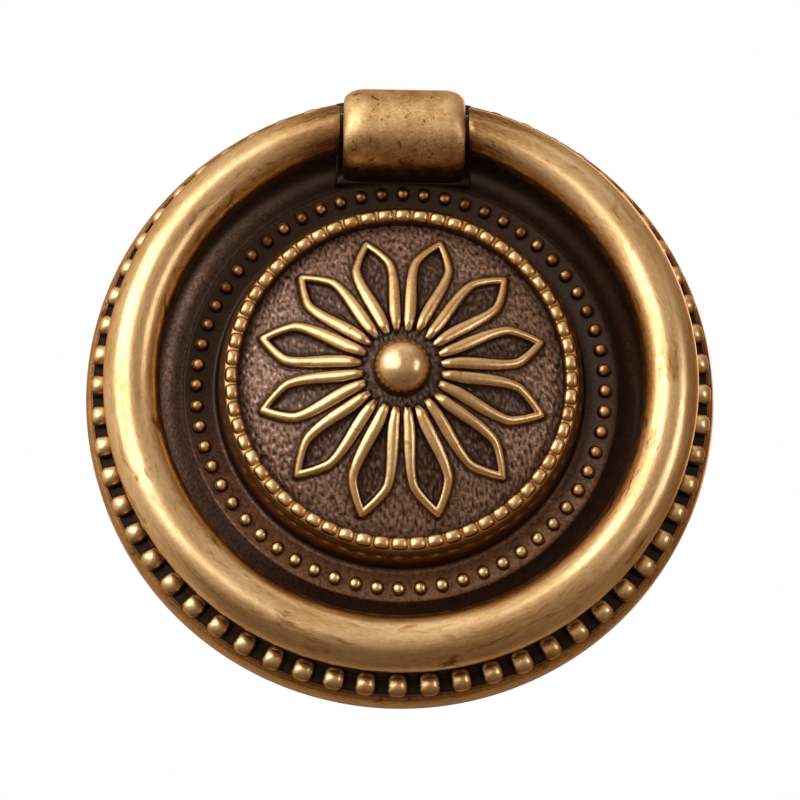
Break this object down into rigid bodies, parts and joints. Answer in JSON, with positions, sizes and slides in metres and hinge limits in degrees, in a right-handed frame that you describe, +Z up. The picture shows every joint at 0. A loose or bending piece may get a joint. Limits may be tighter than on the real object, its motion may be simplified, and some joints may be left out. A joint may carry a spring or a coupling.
{
  "type": "ring pull handle",
  "caption": "Ring pull for a drawer or door: round antique brass plate with beaded borders and a domed flower rosette, and a swinging ring hinged in an arched saddle at its top.",
  "frame": {"origin": "centre of the plate's back face, at the mouth of the fixing screw's hole", "axes": "+Z up the drawer front, towards the hinge; +Y into the drawer front, so the face looks along -Y; X along the hinge"},
  "size_m": [0.056, 0.0133, 0.056],
  "materials": {
    "plate_brass": "antique brass, dark patina in the hollows",
    "saddle_brass": "antique brass, satin",
    "ring_brass": "antique brass, satin"
  },
  "bodies": {
    "plate": {"backplate": "plate_brass", "hinge_saddle": "saddle_brass"},
    "ring": {"pull_ring": "ring_brass"}
  },
  "joints": [
    {"name": "ring_swing", "type": "hinge", "parent": "plate", "child": "ring", "pos_m": [0, -0.0074, 0.02289], "axis": [-1, 0, 0], "range_deg": [0, 150]}
  ]
}
